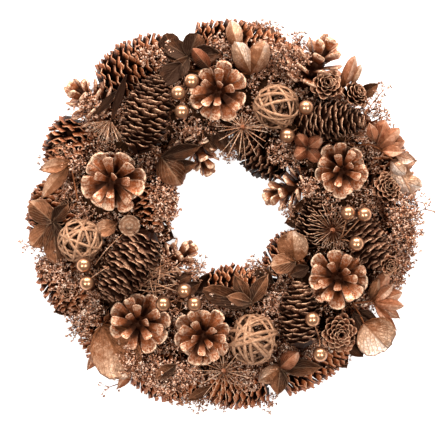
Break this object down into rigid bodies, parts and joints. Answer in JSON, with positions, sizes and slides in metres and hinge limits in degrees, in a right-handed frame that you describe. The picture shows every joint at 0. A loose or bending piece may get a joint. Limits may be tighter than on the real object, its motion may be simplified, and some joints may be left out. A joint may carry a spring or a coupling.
{
  "type": "pinecone wreath",
  "caption": "Round wreath of pine, spruce and larch cones, vine balls, pearls, seed heads, leaves and dried florets glued to a flat-backed straw ring.",
  "frame": {"origin": "Centre of the outline seen from the front, on the surface that the flat back of the ring lies on.", "axes": "+Z out of the wreath's front, +Y to the top of the wreath as it hangs, +X to the right seen from the front."},
  "size_m": [0.3394, 0.3306, 0.0811],
  "materials": {
    "straw": "coiled straw, matt",
    "open_pine_scale": "pine scale under a thin coat of copper spray",
    "spruce_scale": "dark spruce scale, copper spray on its edges",
    "larch_scale": "larch scale under copper spray",
    "vine_strip": "peeled vine, copper spray",
    "pearl": "rose gold, glossy",
    "dry_leaf": "dried leaf under copper spray",
    "dried_floret": "dried florets, matt",
    "bristle": "dried bristle under copper spray"
  },
  "bodies": {
    "root": {"straw_ring": "straw", "open_cone_1": "open_pine_scale", "open_cone_2": "open_pine_scale", "open_cone_3": "open_pine_scale", "open_cone_4": "open_pine_scale", "open_cone_5": "open_pine_scale", "open_cone_6": "open_pine_scale", "vine_ball_1": "vine_strip", "vine_ball_2": "vine_strip", "vine_ball_3": "vine_strip", "spruce_cone_1": "spruce_scale", "spruce_cone_2": "spruce_scale", "spruce_cone_3": "spruce_scale", "spruce_cone_4": "spruce_scale", "spruce_cone_5": "spruce_scale", "outer_cone_1": "spruce_scale", "outer_cone_2": "spruce_scale", "outer_cone_3": "spruce_scale", "outer_cone_4": "spruce_scale", "outer_cone_5": "spruce_scale", "outer_cone_6": "spruce_scale", "outer_cone_7": "spruce_scale", "outer_cone_8": "spruce_scale", "outer_cone_9": "spruce_scale", "outer_cone_10": "spruce_scale", "outer_cone_11": "spruce_scale", "inner_cone_1": "spruce_scale", "inner_cone_2": "spruce_scale", "inner_cone_3": "spruce_scale", "inner_cone_4": "spruce_scale", "inner_cone_5": "spruce_scale", "larch_cone_1": "larch_scale", "larch_cone_2": "larch_scale", "larch_cone_pair": "larch_scale", "side_cone_1": "open_pine_scale", "side_cone_2": "open_pine_scale", "side_cone_3": "open_pine_scale", "side_cone_4": "open_pine_scale", "side_cone_5": "open_pine_scale", "pearl_spray_1": "pearl", "pearl_spray_2": "pearl", "pearl_spray_3": "pearl", "pearl_spray_4": "pearl", "pearl_spray_5": "pearl", "pearl_spray_6": "pearl", "leaf_spray_1": "dry_leaf", "leaf_spray_2": "dry_leaf", "leaf_spray_3": "dry_leaf", "leaf_spray_4": "dry_leaf", "leaf_spray_5": "dry_leaf", "leaf_spray_6": "dry_leaf", "leaf_spray_7": "dry_leaf", "leaf_spray_8": "dry_leaf", "leaf_spray_9": "dry_leaf", "poppy_pod": "dry_leaf", "floret_clump_1": "dried_floret", "floret_clump_2": "dried_floret", "seed_head_1": "bristle", "seed_head_2": "bristle", "seed_head_3": "bristle"}
  },
  "joints": []
}
